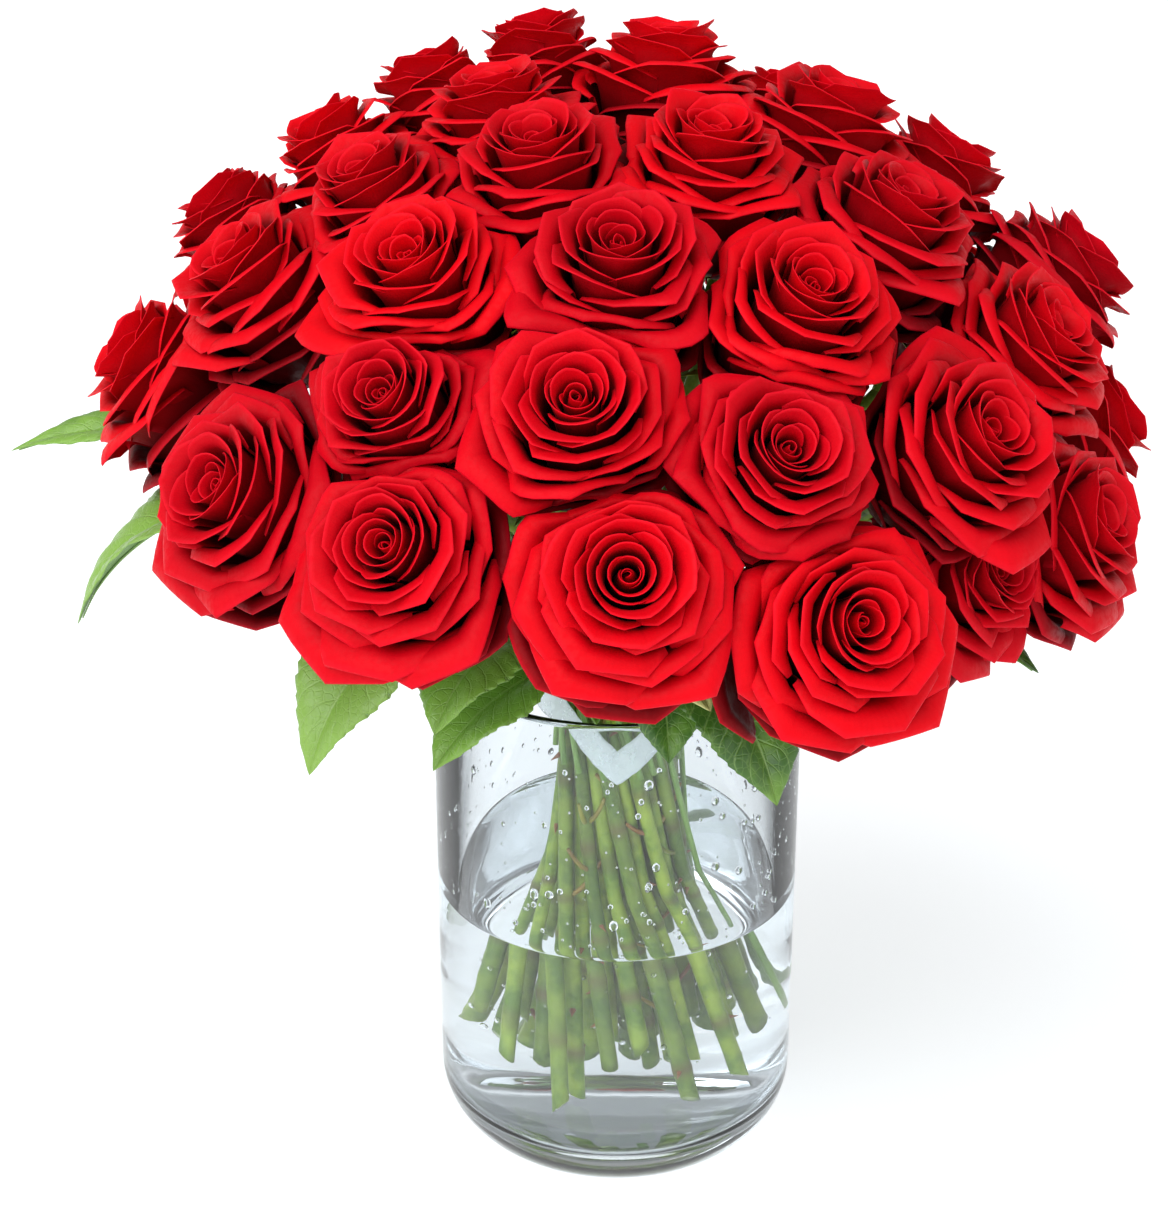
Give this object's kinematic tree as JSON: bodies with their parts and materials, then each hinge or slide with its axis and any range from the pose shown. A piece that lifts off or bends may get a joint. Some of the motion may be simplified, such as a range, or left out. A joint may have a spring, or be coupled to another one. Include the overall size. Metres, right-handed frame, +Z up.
{
  "type": "bouquet of roses",
  "caption": "Round hand-tied bouquet of red roses with a collar of leaves, standing in a clear straight glass cylinder vase half full of water.",
  "frame": {"origin": "centre of the flat underside of the vase's foot, on the surface it stands on", "axes": "+Z up along the axis of the vase; -Y towards the front of the bouquet; +X to the right as seen from the front"},
  "size_m": [0.4333, 0.3941, 0.4359],
  "materials": {
    "rose": "matte",
    "leaf": "satin",
    "vase_glass": "gloss",
    "water": "gloss",
    "clear_tape": "satin"
  },
  "bodies": {
    "root": {"rose_01": "rose", "rose_02": "rose", "rose_03": "rose", "rose_04": "rose", "rose_05": "rose", "rose_06": "rose", "rose_07": "rose", "rose_08": "rose", "rose_09": "rose", "rose_10": "rose", "rose_11": "rose", "rose_12": "rose", "rose_13": "rose", "rose_14": "rose", "rose_15": "rose", "rose_16": "rose", "rose_17": "rose", "rose_18": "rose", "rose_19": "rose", "rose_20": "rose", "rose_21": "rose", "rose_22": "rose", "rose_23": "rose", "rose_24": "rose", "rose_25": "rose", "rose_26": "rose", "rose_27": "rose", "rose_28": "rose", "rose_29": "rose", "rose_30": "rose", "rose_31": "rose", "rose_32": "rose", "rose_33": "rose", "rose_34": "rose", "rose_35": "rose", "rose_36": "rose", "rose_37": "rose", "rose_38": "rose", "rose_39": "rose", "rose_40": "rose", "rose_41": "rose", "leaf_01": "leaf", "leaf_02": "leaf", "leaf_03": "leaf", "leaf_04": "leaf", "leaf_05": "leaf", "leaf_06": "leaf", "leaf_07": "leaf", "leaf_08": "leaf", "leaf_09": "leaf", "leaf_10": "leaf", "leaf_11": "leaf", "leaf_12": "leaf", "leaf_13": "leaf", "leaf_14": "leaf", "leaf_15": "leaf", "vase": "vase_glass", "water": "water", "binding_tie": "clear_tape"}
  },
  "joints": []
}
